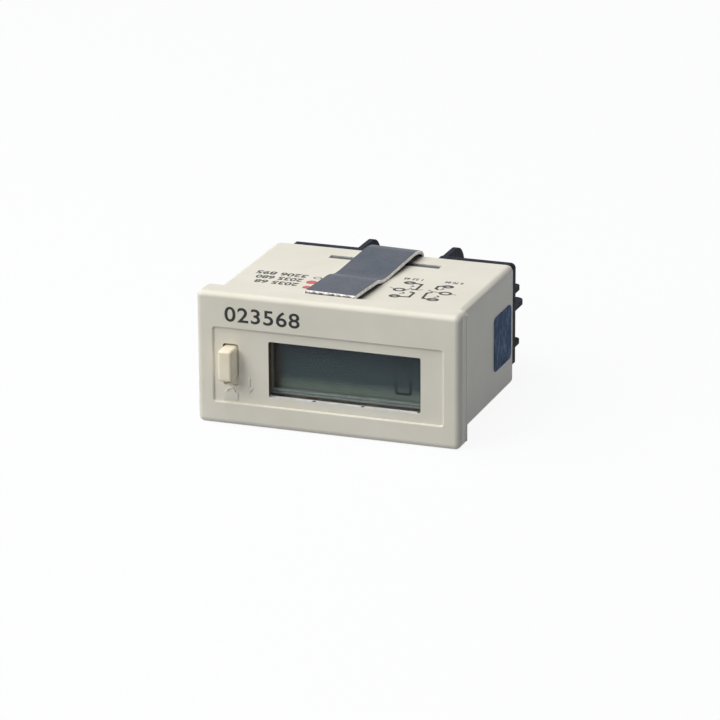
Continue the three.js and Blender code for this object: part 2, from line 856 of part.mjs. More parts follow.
// Terminal block: a plug that closes the case, a plate behind it, two upright walls, a cross barrier on each
// side and a short rib beside each screw.
function terminalBlock() {
  const half = wallThickness / 2;
  const plug = alongY(
    roundedRect(
      around(0, 2 * (innerSide - plugGap)),
      around(0, 2 * (innerTop - plugGap)),
      bodyCorner - sideWall / 2,
    ),
    plugFront,
    plateRear,
  );
  const plugTrim = slab(
    around(0, 2 * bodyWidth),
    [blockY, plateRear + cutOver],
    [-bodyHeight, plateBottom],
  );
  const notch = slab(
    [notchLeft, wallX + half],
    [blockY, plateRear + cutOver],
    [notchBottom, bodyHeight],
  );
  const plate = alongY(
    roundedRect(around(0, bodyWidth), [plateBottom - bodyCorner, caseTop], bodyCorner),
    blockY + seatGap,
    plateRear,
  );
  const step = slab(
    [-bodyWidth, plateCutWidth - caseSide],
    [blockY, plateRear + cutOver],
    [caseTop - plateCutHeight, bodyHeight],
  );
  const wall = new THREE.Shape();
  const wallRear = plateRear + wallReach;
  wall.moveTo(blockY + seatGap, plateBottom);
  wall.lineTo(wallRear - wallRound, plateBottom);
  wall.absarc(wallRear - wallRound, plateBottom + wallRound, wallRound, -Math.PI / 2, 0);
  wall.absarc(wallRear - wallRound, wallTop - wallRound, wallRound, 0, Math.PI / 2);
  wall.lineTo(blockY + seatGap, wallTop);
  // A flat fin from an inner x to an outer x with its far corner rounded, for one side of the block.
  const fin = (side, innerX, outerX, reach, round, z) => {
    const shape = new THREE.Shape();
    const far = plateRear + reach;
    shape.moveTo(innerX, blockY + seatGap);
    shape.lineTo(outerX, blockY + seatGap);
    shape.absarc(outerX - round, far - round, round, 0, Math.PI / 2);
    shape.lineTo(innerX, far);
    const flat = extruded(shape, barrierThickness).translate(0, 0, z - barrierThickness / 2);
    return side > 0 ? solid(flat) : solid(flat.rotateY(Math.PI).translate(0, 0, 2 * z));
  };
  const walls = [-1, 1].map((side) => alongX(wall, side * wallX - half, side * wallX + half));
  const barriers = [-1, 1].map((side) =>
    fin(side, wallX, barrierX, barrierReach, barrierRound, barrierZ),
  );
  const ribs = terminals.map(({ side, z }) => fin(side, ribStart, caseSide, ribReach, ribRound, z));
  const snaps = [-1, 1].flatMap((side) =>
    [-1, 1].map((up) =>
      slab(
        around(side * snapX, snapWidth),
        around(plugFront + blockPlug / 2, snapLength),
        up > 0
          ? [innerTop - 2 * snapHeight, innerTop + snapHeight / 2]
          : [-innerTop - snapHeight / 2, -innerTop + 2 * snapHeight],
      ),
    ),
  );
  const wells = terminals.map(({ x, z }) =>
    rodY(screwRadius + screwWell, x, [tightTipY - guideGap, plateRear + cutOver], z),
  );
  const leadSlots = terminals.map((terminal) => {
    const place = leadPlace(terminal);
    return slab(
      around(place.x, leadWidth + 2 * leadSlotGap),
      [plugFront - cutOver, plateRear + cutOver],
      around(place.z, leadThickness + 2 * leadSlotGap),
    );
  });
  const flats = cut(join(plug, plate), plugTrim, notch, step);
  return cut(join(flats, ...walls, ...barriers, ...ribs, ...snaps), ...wells, ...leadSlots);
}

// Where a terminal's lead runs: beside and above its screw, outwards on the upper terminals and inwards on
// the lower ones, so that no two leads meet.
function leadPlace({ side, up, x, z }) {
  return { x: x + side * up * leadSide, z: z + leadRise };
}
piece("terminal_block", terminalBlock(), "black");

for (const terminal of terminals) {
  const { number, x, z } = terminal;
  const lead = leadPlace(terminal);
  const turnY = plugFront - leadDrop;
  const plate = slab(around(x, contactSize), [contactY, contactY + contactThickness], around(z, contactSize));
  const hole = rodY(
    screwRadius + screwHole,
    x,
    [contactY - cutOver, contactY + contactThickness + cutOver],
    z,
  );
  const leadBar = slab(
    around(lead.x, leadWidth),
    [turnY - leadThickness, contactY + contactThickness / 2],
    around(lead.z, leadThickness),
  );
  const leadLeg = slab(
    around(lead.x, leadWidth),
    [turnY - leadThickness, turnY],
    [mainBoardTop + seatGap, lead.z],
  );
  piece(`terminal_contact_${number}`, join(cut(plate, hole), leadBar, leadLeg), "brass");

  // The clamp has its top and bottom edges turned up beside the screw's head, so that it can't turn with it.
  const clampPlate = slab(around(x, clampSize), [clampY, clampY + clampThickness], around(z, clampSize));
  const lips = [-1, 1].map((up) =>
    slab(
      around(x, clampSize),
      [clampY, clampY + clampThickness + clampLip],
      around(z + (up * (clampSize - clampLip)) / 2, clampLip),
    ),
  );
  const clampHole = rodY(
    screwRadius + screwHole,
    x,
    [clampY - cutOver, clampY + clampThickness + cutOver],
    z,
  );
  piece(`clamp_plate_${number}`, cut(join(clampPlate, ...lips), clampHole), "bright");

  // Screw: a pan head with a cross recess on a plain shank.
  const profile = [
    at(0, -screwLength),
    at(screwRadius - screwHole, -screwLength),
    at(screwRadius, screwHole - screwLength),
    at(screwRadius, 0),
    at(screwHeadRadius, 0),
    at(screwHeadRadius, screwHeadHeight - screwHeadRound),
    at(screwHeadRadius - screwHeadRound, screwHeadHeight),
    at(0, screwHeadHeight),
  ];
  const recessFloor = headY + screwHeadHeight - screwSlotDepth;
  const recessSpan = [recessFloor, headY + screwHeadHeight + cutOver];
  const cross = join(
    slab(around(x, screwSlotLength), recessSpan, around(z, screwSlotWidth)),
    slab(around(x, screwSlotWidth), recessSpan, around(z, screwSlotLength)),
  );
  piece(`terminal_screw_${number}`, cut(turnedY(profile, x, headY, z), cross), "bright");
}

// The origin: the middle of the outer box, at the bottom. The button's head is the foremost point, the cross
// barriers reach furthest back, and the bezel's lower edge is the lowest.
const frontmost = recessY - buttonRise;
const rearmost = plateRear + Math.max(barrierReach, wallReach);
shell.position.set(0, -(frontmost + rearmost) / 2, bezelHeight / 2);

export default counter;
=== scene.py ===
# %% [markdown]
# A small counter with a liquid crystal display, made to be clamped into a hole in a panel. The frame holds
# its real sizes and its moving pieces. This lesson gives each piece its look: rounded moulded edges, bent
# spring steel, a clear lens over a dark display, black screw terminals behind, and the light of a plain
# studio.

import math

import bmesh
import bpy
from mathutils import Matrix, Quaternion, Vector
from mathutils.geometry import interpolate_bezier


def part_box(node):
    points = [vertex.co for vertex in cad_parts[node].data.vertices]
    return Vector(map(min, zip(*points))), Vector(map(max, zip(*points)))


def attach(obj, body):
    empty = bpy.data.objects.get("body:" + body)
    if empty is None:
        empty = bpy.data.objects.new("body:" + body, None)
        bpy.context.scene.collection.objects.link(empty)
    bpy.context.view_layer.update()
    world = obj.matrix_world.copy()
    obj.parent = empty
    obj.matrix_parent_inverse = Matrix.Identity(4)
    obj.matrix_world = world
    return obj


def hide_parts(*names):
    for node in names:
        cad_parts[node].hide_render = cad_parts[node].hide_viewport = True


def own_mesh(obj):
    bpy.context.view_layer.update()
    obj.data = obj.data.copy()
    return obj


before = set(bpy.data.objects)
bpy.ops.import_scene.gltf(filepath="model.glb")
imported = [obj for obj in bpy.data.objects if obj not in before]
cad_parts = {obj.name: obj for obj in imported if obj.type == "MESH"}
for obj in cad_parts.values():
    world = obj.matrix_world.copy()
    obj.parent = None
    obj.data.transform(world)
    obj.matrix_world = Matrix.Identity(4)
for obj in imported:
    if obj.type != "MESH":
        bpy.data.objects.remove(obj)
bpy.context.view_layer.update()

# %% [markdown]
# The drawing of such a counter measures everything from the rear plane of its bezel and from mid-height,
# because that is where it meets the panel. Working in the same millimetres keeps every number readable. One
# function turns a place on the drawing into metres in the frame, and another one turns it back.

# %% Places on the drawing
MM = 0.001
bezel_depth = 4.2
half_height = 12
bezel_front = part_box("case_shell")[0].y


def spot(x, y, z):
    """A place on the drawing: right, behind the bezel's rear plane, above mid-height."""
    return Vector((x * MM, bezel_front + (y + bezel_depth) * MM, (z + half_height) * MM))


def drawn(point):
    """The same place back in the drawing's millimetres."""
    return Vector((point.x, point.y - bezel_front, point.z)) / MM - Vector((0, bezel_depth, half_height))


print("the bezel's rear plane is at y =", round(spot(0, 0, 0).y, 5))

# %% [markdown]
# The picture was taken from a good way off with a long lens, a little from the right and from above, so
# that the front, the top and the right side all show. A long lens keeps the edges nearly parallel. The
# camera is aimed at a point inside the case and then rolled by a third of a degree, as the photographer's
# was.

# %% Camera
camera_azimuth = math.radians(19.928)
camera_height = math.radians(18.444)
camera_roll = math.radians(-0.318)
camera_distance = 0.727276
aim = spot(-2.712, 20.0, -6.07)
towards = Vector(
    (
        math.sin(camera_azimuth) * math.cos(camera_height),
        -math.cos(camera_azimuth) * math.cos(camera_height),
        math.sin(camera_height),
    )
)
bpy.ops.object.camera_add(location=aim + towards * camera_distance)
camera = bpy.context.object
camera.name = "studio_camera"
camera.rotation_mode = "QUATERNION"
camera.rotation_quaternion = (-towards).to_track_quat("-Z", "Y") @ Quaternion((0, 0, 1), camera_roll)
camera.data.sensor_width = 36
camera.data.lens = 205.213
camera.data.clip_start = 0.01
camera.data.clip_end = 20
bpy.context.scene.camera = camera
print("the camera stands", round(camera_distance * 1000), "mm from its aim")

# %% [markdown]
# Blender's operators act on whatever is selected, and the frame's pieces come in selected. So each step
# first clears the selection. A new piece also keeps its place, turn and size beside its mesh. They are
# moved into the mesh, since a bevel or a texture would be stretched by a size that stays outside.

# %% Tools for pieces
def deselect():
    """Leaves edit mode and clears the selection."""
    if bpy.context.object is not None and bpy.context.object.mode != "OBJECT":
        bpy.ops.object.mode_set(mode="OBJECT")
    bpy.ops.object.select_all(action="DESELECT")


def activate(piece):
    """Makes one piece the selected and active one."""
    deselect()
    piece.select_set(True)
    bpy.context.view_layer.objects.active = piece


def settle(name):
    """Names the new piece and moves its place, turn and size into its mesh."""
    piece = bpy.context.object
    piece.name = name
    piece.data.name = name
    bpy.ops.object.transform_apply(location=True, rotation=True, scale=True)
    return piece


deselect()
print("pieces still selected:", len(bpy.context.selected_objects))

# %% [markdown]
# A material here is a small network: noise at a real size in millimetres steers the colour, the roughness
# and a little relief. One helper adds a node with its settings and its links, and one turns a web colour
# into the linear numbers that the renderer uses.

# %% Tools for nodes
def colour(code):
    """A colour such as 'E4E2D4', as the linear numbers that Blender mixes."""
    parts = [int(code[i : i + 2], 16) / 255 for i in (0, 2, 4)]
    return tuple(c / 12.92 if c <= 0.04045 else ((c + 0.055) / 1.055) ** 2.4 for c in parts) + (1,)


def per_mm(size):
    """The texture scale that gives a pattern of this size in millimetres."""
    return 1 / (size * MM)


def add(tree, kind, settings=None, sockets=None):
    """Adds a node. A socket gets a value, or a link when it is given another node's output."""
    node = tree.nodes.new(kind)
    for name, value in (settings or {}).items():
        setattr(node, name, value)
    for name, value in (sockets or {}).items():
        if isinstance(value, bpy.types.NodeSocket):
            tree.links.new(value, node.inputs[name])
        else:
            node.inputs[name].default_value = value
    return node


def reckon(tree, operation, *terms):
    """The result of a Math node that works on values or on other nodes' outputs."""
    return add(tree, "ShaderNodeMath", {"operation": operation}, dict(enumerate(terms))).outputs[0]


def noise(tree, place, size, detail, roughness=0.5):
    """The pattern of a noise of this size in millimetres."""
    sockets = {"Vector": place, "Scale": per_mm(size), "Detail": detail, "Roughness": roughness}
    return add(tree, "ShaderNodeTexNoise", None, sockets).outputs["Fac"]


def shades(node, stops):
    """Sets the colours of a Color Ramp node from places and codes, and gives its colour output."""
    ramp = node.color_ramp
    while len(ramp.elements) < len(stops):
        ramp.elements.new(0.5)
    for element, (place, code) in zip(ramp.elements, stops):
        element.position = place
        element.color = colour(code)
    return node.outputs["Color"]


print("a grey of 808080 is", round(colour("808080")[0], 3), "of full light")

# %% [markdown]
# Each finish starts from the plain surface shader with a few values for what it is, such as metal or how
# rough. Nearly every one is also mottled by a noise. The noise is laid out in the Object coordinates, so
# that it has the same real size on every piece.

# %% Tools for finishes
def begin(name, **surface):
    """A new material: its node tree, its surface shader with these values, and its Object coordinates."""
    made = bpy.data.materials.new(name)
    made.use_nodes = True
    shader = made.node_tree.nodes["Principled BSDF"]
    for key, value in surface.items():
        shader.inputs[key.replace("_", " ")].default_value = value
    place = add(made.node_tree, "ShaderNodeTexCoord").outputs["Object"]
    print("a finish for", name.replace("_", " "))
    return made, made.node_tree, shader, place


def tinted(tree, surface, pattern, stops):
    """Colours a surface by a pattern, with colours at places between 0 and 1."""
    tone = shades(add(tree, "ShaderNodeValToRGB", None, {"Fac": pattern}), stops)
    tree.links.new(tone, surface.inputs["Base Color"])


def mottled(tree, surface, place, size, stops, detail):
    """Colours a surface by a noise of this size in millimetres, and gives its pattern for further use."""
    pattern = noise(tree, place, size, detail)
    tinted(tree, surface, pattern, stops)
    return pattern


def paint(piece, *made):
    """Gives a piece its materials, the first one all over."""
    piece.data.materials.clear()
    for one in made:
        piece.data.materials.append(one)
    return piece


print("materials before the first finish:", len(bpy.data.materials))

# %% [markdown]
# The studio is a sheet of white paper and soft lamps. The photograph's ground is pure white, so the paper
# is shown nearly white to the camera, and the rest of its tone is real paper that takes the counter's
# shadow. For all other rays it is a plain pale grey, which keeps its bounced light from washing out the
# shaded side.

# %% Floor
def shown_rays(tree):
    """Is 1 for the rays of the camera and those that metal and glass send on, and 0 for all other light."""
    rays = add(tree, "ShaderNodeLightPath")
    mirrored = reckon(tree, "MAXIMUM", rays.outputs["Is Glossy Ray"], rays.outputs["Is Transmission Ray"])
    return reckon(tree, "MAXIMUM", rays.outputs["Is Camera Ray"], mirrored)


deselect()
bpy.ops.mesh.primitive_grid_add(x_subdivisions=12, y_subdivisions=12, size=8, location=(0, 0, -0.00005))
floor = settle("studio_paper")
# Matte paper: fibres leave it a touch uneven, far too fine to see here, so they are drawn 2 mm coarse.
paper, tree, surface, place = begin("white_paper", Roughness=0.9)
mottled(tree, surface, place, 2, [(0.3, "94979D"), (0.7, "989BA1")], 4)
share = reckon(tree, "MULTIPLY", shown_rays(tree), 0.8)
glow = add(tree, "ShaderNodeEmission", None, {"Color": (1, 1, 1, 1), "Strength": 1.15})
mixed = add(tree, "ShaderNodeMixShader", None, {0: share, 1: surface.outputs[0], 2: glow.outputs[0]})
tree.links.new(mixed.outputs[0], tree.nodes["Material Output"].inputs["Surface"])
paint(floor, paper)
print("the paper is", round(floor.dimensions.x), "m wide")

# %% [markdown]
# In the photograph the top is brightest, the front is a step darker and the right side is clearly in shade,
# and every small shadow falls to the right. So a strong lamp hangs high in front on the left, and a weaker
# one stands lower beside the camera. The world adds a low even light and shows as white in metal and in the
# lens.

# %% Lamps and world
def lamp(name, azimuth, elevation, distance, size, power, tint):
    """A square lamp that looks at the counter. A large one gives soft shadows."""
    turn = math.radians(azimuth)
    rise = math.radians(elevation)
    way = Vector((math.sin(turn) * math.cos(rise), -math.cos(turn) * math.cos(rise), math.sin(rise)))
    bpy.ops.object.light_add(type="AREA", location=way * distance)
    made = bpy.context.object
    made.name = name
    made.data.size = size
    made.data.energy = power
    made.data.color = colour(tint)[:3]
    made.rotation_euler = (-way).to_track_quat("-Z", "Y").to_euler()
    return made


deselect()
lamp("top_lamp", -60, 63, 0.9, 1.0, 8.3, "FFFDF8")
lamp("front_lamp", -38, 30, 1.0, 0.5, 3.15, "FFFBF3")

world = bpy.data.worlds.new("studio")
bpy.context.scene.world = world
world.use_nodes = True
tree = world.node_tree
low_light = tree.nodes["Background"]
low_light.inputs["Color"].default_value = colour("E6ECF8")
low_light.inputs["Strength"].default_value = 0.1
white = add(tree, "ShaderNodeBackground", None, {"Color": (1, 1, 1, 1), "Strength": 1.0})
mixed = add(
    tree, "ShaderNodeMixShader", None, {0: shown_rays(tree), 1: low_light.outputs[0], 2: white.outputs[0]}
)
tree.links.new(mixed.outputs[0], tree.nodes["World Output"].inputs["Surface"])
bpy.context.scene.view_settings.view_transform = "Standard"
print("two lamps and a low white world")

# %% [markdown]
# The case is moulded ABS, pigmented cream. An injection mould with a fine spark-eroded wall leaves a satin
# grain, and thick plastic lets a little light in, which softens the colour. The grain itself is about 0.1
# mm, less than a pixel here, so it is drawn at 0.35 mm. A slow, faint change of tone stands for handling.

# %% Cream ABS
def embossed(tree, surface, pattern, strength, depth):
    """Gives a surface the relief of a pattern, this many millimetres deep."""
    relief = add(
        tree, "ShaderNodeBump", None, {"Height": pattern, "Strength": strength, "Distance": depth * MM}
    )
    tree.links.new(relief.outputs["Normal"], surface.inputs["Normal"])


cream, tree, surface, place = begin("moulded_cream_abs", IOR=1.53)
mottled(tree, surface, place, 9, [(0.3, "E6E3D6"), (0.7, "EDEADF")], 3)
grain = noise(tree, place, 0.35, 5)
sheen = add(
    tree,
    "ShaderNodeMapRange",
    None,
    {"Value": grain, "From Min": 0.3, "From Max": 0.7, "To Min": 0.36, "To Max": 0.5},
)
tree.links.new(sheen.outputs["Result"], surface.inputs["Roughness"])
embossed(tree, surface, grain, 0.12, 0.03)

# The left and upper walls of the window never see the lamps, so painted shade makes them dark brown.
painted_shade, tree, surface, place = begin("painted_window_shade", Roughness=0.7, Specular_IOR_Level=0.1)
mottled(tree, surface, place, 1.5, [(0.35, "5E4F43"), (0.65, "6E5E50")], 3)

# The upward face of the window's lower edge catches the light from above, and a painted highlight makes it
# blue-white and bright.
sill, tree, surface, place = begin("window_sill_painted_highlight", IOR=1.53, Roughness=0.2)
mottled(tree, surface, place, 1.5, [(0.35, "E6ECF4"), (0.6, "FAFCFF")], 3)

# %% [markdown]
# The case is one shell with its bezel. It could be drawn as a profile and extruded, but it is really two
# blocks: a wide thin one in front and a narrower deep one behind. A block is added at its size and place,
# and some of its edges are picked in edit mode and rounded.

# %% Main sizes of the case
half_width = 24
body_half_width = 22.4
case_top = 11
case_rear = 30
wall = 1.4
recess_y = -3.8
recess_half_width = 20.95
recess_z = (-7.8, 5.6)
window_x = (-10.85, 16.85)
window_z = (-6.25, 3.85)
button_gap_x = (-19.3, -16.4)
button_gap_z = (-4.795, 2.755)
clip_slot_x = (-10.05, 10.65)
print("the window is", round(window_x[1] - window_x[0], 1), "mm wide")

# %% Two blocks
def block(name, x, y, z):
    """A block between two limits each way, in the drawing's millimetres."""
    deselect()
    low = spot(x[0], y[0], z[0])
    high = spot(x[1], y[1], z[1])
    bpy.ops.mesh.primitive_cube_add(size=1, location=(low + high) / 2, scale=high - low)
    return settle(name)


def pick_edges(piece, wanted):
    """Opens a piece in edit mode with the edges selected whose two ends pass the test."""
    activate(piece)
    bpy.ops.object.mode_set(mode="EDIT")
    bpy.ops.mesh.select_mode(type="EDGE")
    bpy.ops.mesh.select_all(action="DESELECT")
    shape = bmesh.from_edit_mesh(piece.data)
    for edge in shape.edges:
        edge.select_set(bool(wanted(drawn(edge.verts[0].co), drawn(edge.verts[1].co))))
    bmesh.update_edit_mesh(piece.data)


def runs_along(axis):
    """A test for edges that run along x, y or z, given as 0, 1 or 2."""
    return lambda a, b: (a - b).length > 0.05 and abs((b - a).normalized()[axis]) > 0.999


def round_off(piece, wanted, width, segments):
    """Rounds the edges of a piece that pass the test, by a width in millimetres."""
    pick_edges(piece, wanted)
    bpy.ops.mesh.bevel(offset=width * MM, segments=segments, affect="EDGES")
    bpy.ops.object.mode_set(mode="OBJECT")


case = block("counter_case", (-half_width, half_width), (-bezel_depth, 0), (-half_height, half_height))
round_off(case, runs_along(1), 1.1, 7)
round_off(case, lambda a, b: max(a.y, b.y) < 0.01 - bezel_depth, 1.05, 7)
body = block("body_block", (-body_half_width, body_half_width), (-0.8, case_rear), (-case_top, case_top))
round_off(body, runs_along(1), 1.1, 7)
print("the body is", round(body.dimensions.x / MM, 1), "mm wide")

# %% [markdown]
# A Boolean modifier joins the two blocks and carves out the hollow, the shallow recess, the window, the
# button's slot and the clip's slot, as the mould's cores leave them. The rim of the recess is rounded as
# soon as it is cut, while its edges are easy to find.

# %% Hollow and openings
def carve(piece, tool, operation="DIFFERENCE"):
    """Cuts a tool out of a piece, or joins it on, and throws the tool away."""
    step = piece.modifiers.new("carve", "BOOLEAN")
    step.object = tool
    step.operation = operation
    step.solver = "EXACT"
    activate(piece)
    bpy.ops.object.modifier_apply(modifier=step.name)
    bpy.data.objects.remove(tool, do_unlink=True)


carve(case, body, "UNION")
for side in (-1, 1):
    bead = block("bezel_bead", sorted((side * 23.6, side * 24.1)), (-0.75, -0.2), (-11.3, 11.3))
    round_off(bead, runs_along(2), 0.1, 3)
    carve(case, bead, "UNION")
    carve(case, block("bezel_groove", sorted((side * 23.85, side * 24.5)), (-3.15, -2.8), (-13, 13)))

hollow_x = body_half_width - wall
hollow_z = case_top - wall
hollow = block("hollow", (-hollow_x, hollow_x), (-2.6, case_rear + 1), (-hollow_z, hollow_z))
round_off(hollow, runs_along(1), 0.3, 3)
carve(case, hollow)
recess = block("recess", (-recess_half_width, recess_half_width), (-6, recess_y), recess_z)
round_off(recess, runs_along(1), 0.4, 4)
carve(case, recess)


def on_recess_rim(point):
    """Whether a corner lies on the rim of the recess, the only one so far inside the bezel's face."""
    off_middle = point.z - sum(recess_z) / 2
    half_high = (recess_z[1] - recess_z[0]) / 2
    in_face = abs(point.y + bezel_depth) < 0.01
    return in_face and abs(point.x) < recess_half_width + 0.15 and abs(off_middle) < half_high + 0.1


round_off(case, lambda a, b: on_recess_rim(a) and on_recess_rim(b), 0.28, 4)
opening = block("window", window_x, (-6, 0), window_z)
round_off(opening, runs_along(1), 0.3, 3)
carve(case, opening)
gap = block("button_gap", button_gap_x, (-6, 0), button_gap_z)
round_off(gap, runs_along(1), 0.5, 5)
carve(case, gap)
carve(case, block("clip_gap", clip_slot_x, (24.0, 25.8), (8.6, 13)))
print("the carved case has", len(case.data.polygons), "faces")

# %% [markdown]
# No moulded edge is quite sharp, so a Bevel modifier breaks every one that is left, and Weighted Normals
# keep the large faces flat in the shading. The walls of the window then get painted light of their own: a
# painted highlight on the sill and painted shade on the left and upper walls. These faces are picked by
# where they lie and which way they look.

# %% Edges and finishes of the case
def soften(piece, width, segments=2, angle=35):
    """Breaks every sharp edge a little, as a mould does, and keeps the large faces flat in the shading."""
    activate(piece)
    edge = piece.modifiers.new("edge", "BEVEL")
    edge.width = width * MM
    edge.segments = segments
    edge.limit_method = "ANGLE"
    edge.angle_limit = math.radians(angle)
    bpy.ops.object.modifier_apply(modifier=edge.name)
    bpy.ops.object.shade_smooth_by_angle(angle=math.radians(60))
    flat = piece.modifiers.new("flat", "WEIGHTED_NORMAL")
    flat.keep_sharp = True
    bpy.ops.object.modifier_apply(modifier=flat.name)
    print(piece.name, "has", len(piece.data.polygons), "faces")


def pick_faces(piece, wanted):
    """Opens a piece in edit mode with the faces selected whose middle and normal pass the test."""
    activate(piece)
    bpy.ops.object.mode_set(mode="EDIT")
    bpy.ops.mesh.select_mode(type="FACE")
    bpy.ops.mesh.select_all(action="DESELECT")
    shape = bmesh.from_edit_mesh(piece.data)
    for face in shape.faces:
        face.select_set(bool(wanted(drawn(face.calc_center_median()), face.normal)))
    bmesh.update_edit_mesh(piece.data)


def paint_faces(piece, number, wanted):
    """Gives the faces that pass the test another of the piece's materials, by its number."""
    pick_faces(piece, wanted)
    piece.active_material_index = number
    bpy.ops.object.material_slot_assign()
    deselect()


def at(value, place):
    """Whether a coordinate lies at a place, give or take a twentieth of a millimetre."""
    return abs(value - place) < 0.05


def on_painted_shade_walls(middle, normal):
    """Whether a face belongs to the left or the upper wall of the window, where shade is painted."""
    return (normal.x > 0.9 and at(middle.x, window_x[0])) or (normal.z < -0.9 and at(middle.z, window_z[1]))


soften(case, 0.09)
paint(case, cream, sill, painted_shade)
# The upward face of the window's lower edge gets the painted highlight.
paint_faces(case, 1, lambda middle, normal: normal.z > 0.9 and at(middle.z, window_z[0]) and middle.y < -2)
# The left and upper walls of the window get painted shade.
paint_faces(case, 2, lambda middle, normal: -3.75 < middle.y < -2 and on_painted_shade_walls(middle, normal))
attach(case, "case")
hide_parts("case_shell")

# %% [markdown]
# The lens is clear moulded polycarbonate. Glass that bends light would keep the lamps off the display
# behind it, so a Light Path switch lets the lamps' rays pass straight, and an index far below the real one
# keeps the white room from veiling the display. The lens sits a millimetre back, behind the bright sill of
# the window.

# %% Clear polycarbonate
def unevenly_rough(tree, surface, pattern, low, high):
    """Lets the roughness follow a pattern, between two values."""
    spread = add(tree, "ShaderNodeMapRange", None, {"Value": pattern, "To Min": low, "To Max": high})
    tree.links.new(spread.outputs["Result"], surface.inputs["Roughness"])


lens_clear, tree, surface, place = begin(
    "clear_polycarbonate", Base_Color=colour("F4F8F8"), IOR=1.18, Transmission_Weight=1.0
)
unevenly_rough(tree, surface, noise(tree, place, 3, 3), 0.01, 0.06)
rays = add(tree, "ShaderNodeLightPath")
open_air = add(tree, "ShaderNodeBsdfTransparent", None, {"Color": colour("F2F6F6")})
mixed = add(
    tree,
    "ShaderNodeMixShader",
    None,
    {0: rays.outputs["Is Shadow Ray"], 1: surface.outputs[0], 2: open_air.outputs[0]},
)
tree.links.new(mixed.outputs[0], tree.nodes["Material Output"].inputs["Surface"])

# %% Lens
def grown(span, by):
    """A pair of limits moved outwards, or inwards if the amount is negative."""
    return (span[0] - by, span[1] + by)


lens_y = (-2.8, -1.6)
lens = block("window_lens", grown(window_x, 0.01), lens_y, grown(window_z, 0.01))
round_off(lens, runs_along(1), 0.3, 3)
carve(lens, block("lens_flange", grown(window_x, 1), (-2.5, lens_y[1]), grown(window_z, 1)), "UNION")
soften(lens, 0.05, 1)
paint(lens, lens_clear)
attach(lens, "case")
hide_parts("display_lens")

# %% [markdown]
# Behind the lens a grey holder frames the display cell. Only its lower ledge shows from outside, as a bar
# with a line along it over a groove in painted shade. So it is a block with a pocket for the glass, an
# opening for the view, and the line and the groove cut into its front. The left and upper walls of its view
# get painted shade too.

# %% Grey holder
grey, tree, surface, place = begin("grey_abs", IOR=1.53, Roughness=0.5)
mottled(tree, surface, place, 2, [(0.3, "5A605F"), (0.7, "6C7270")], 4)

ledge_top = -5.2
ledge_foot = -6.12
groove_x = (-12.0, 18.0)
holder = block("display_holder", grown(window_x, 3), (-1.5, 3.9), grown(window_z, 3.1))
carve(holder, block("glass_pocket", grown(window_x, 2), (-0.7, 5), grown(window_z, 2.1)))
carve(holder, block("view", window_x, (-2, 0), (ledge_top, window_z[1])))
carve(holder, block("ledge_groove", groove_x, (-2, -0.85), (-7.6, ledge_foot)))
carve(holder, block("ledge_line", groove_x, (-2, -1.22), (-5.78, -5.58)))
soften(holder, 0.1)
paint(holder, grey, painted_shade)
# Painted shade on the groove under the ledge and on the left and upper walls of the view.
paint_faces(
    holder,
    1,
    lambda middle, normal: on_painted_shade_walls(middle, normal)
    or (middle.y < -0.8 and middle.z < ledge_foot + 0.02),
)
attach(holder, "case")
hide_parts("display_frame")

# %% [markdown]
# The display is two sheets of glass with liquid crystal between them, and with no voltage on it the
# polariser looks dark grey-green. A painted gradient over its height adds the light and shade on it:
# lighter towards the bottom, where the reflector behind it takes light from above, and darker at the top
# under the window's upper wall. A faint mottle lies on it, under a glossy surface.

# %% Display glass
glass, tree, surface, place = begin("polarised_display_glass", Roughness=0.12, Specular_IOR_Level=0.1)
height = add(tree, "ShaderNodeSeparateXYZ", None, {"Vector": place})
uneven = reckon(tree, "MULTIPLY_ADD", noise(tree, place, 1.2, 3), 1.2 * MM, height.outputs["Z"])
level = add(
    tree,
    "ShaderNodeMapRange",
    None,
    {"Value": uneven, "From Min": spot(0, 0, -5.5).z, "From Max": spot(0, 0, window_z[1]).z},
)
# Painted light and shade: lighter at the bottom, darker under the window's top.
tone = shades(
    add(tree, "ShaderNodeValToRGB", None, {"Fac": level.outputs["Result"]}),
    [(0.0, "4F5751"), (0.15, "545C56"), (0.36, "2F393C"), (1.0, "262F35")],
)
# Near its left end the colour turns brown: a painted reflection of the window's shaded left wall.
from_left = add(
    tree,
    "ShaderNodeMapRange",
    None,
    {"Value": height.outputs["X"], "From Min": spot(-10.4, 0, 0).x, "From Max": spot(-9.3, 0, 0).x},
)
left_wall_reflection = add(tree, "ShaderNodeMix", {"data_type": "RGBA"}, {"Factor": from_left.outputs["Result"]})
left_wall_reflection.inputs[6].default_value = colour("332C27")
tree.links.new(tone, left_wall_reflection.inputs[7])
tree.links.new(left_wall_reflection.outputs[2], surface.inputs["Base Color"])
for node in ("lcd_front_glass", "lcd_rear_glass"):
    paint(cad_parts[node], glass)

# %% [markdown]
# One figure shows very faintly at the right, as the electrodes of a display do when it is off. A figure has
# up to seven bars. One function makes a bar, a thin block whose ends come to a point, upright or lying, and
# six bars make a nought.

# %% Faint figure
faint, tree, surface, place = begin("display_electrode", Roughness=0.15, Specular_IOR_Level=0.1)
mottled(tree, surface, place, 0.8, [(0.3, "21282C"), (0.7, "283034")], 2)


def bar(name, x, z, upright):
    """One bar of a figure, 2.7 mm long and 0.5 mm wide, with pointed ends."""
    half_x, half_z = (0.26, 1.32) if upright else (1.32, 0.26)
    made = block(name, (x - half_x, x + half_x), (-0.63, -0.605), (z - half_z, z + half_z))
    round_off(made, runs_along(1), 0.24, 1)
    return made


bars = [
    bar("bar_a", 12.72, 1.82, False),
    bar("bar_b", 14.0, 0.45, True),
    bar("bar_c", 14.0, -2.58, True),
    bar("bar_d", 12.72, -3.95, False),
    bar("bar_e", 11.44, -2.58, True),
    bar("bar_f", 11.44, 0.45, True),
]


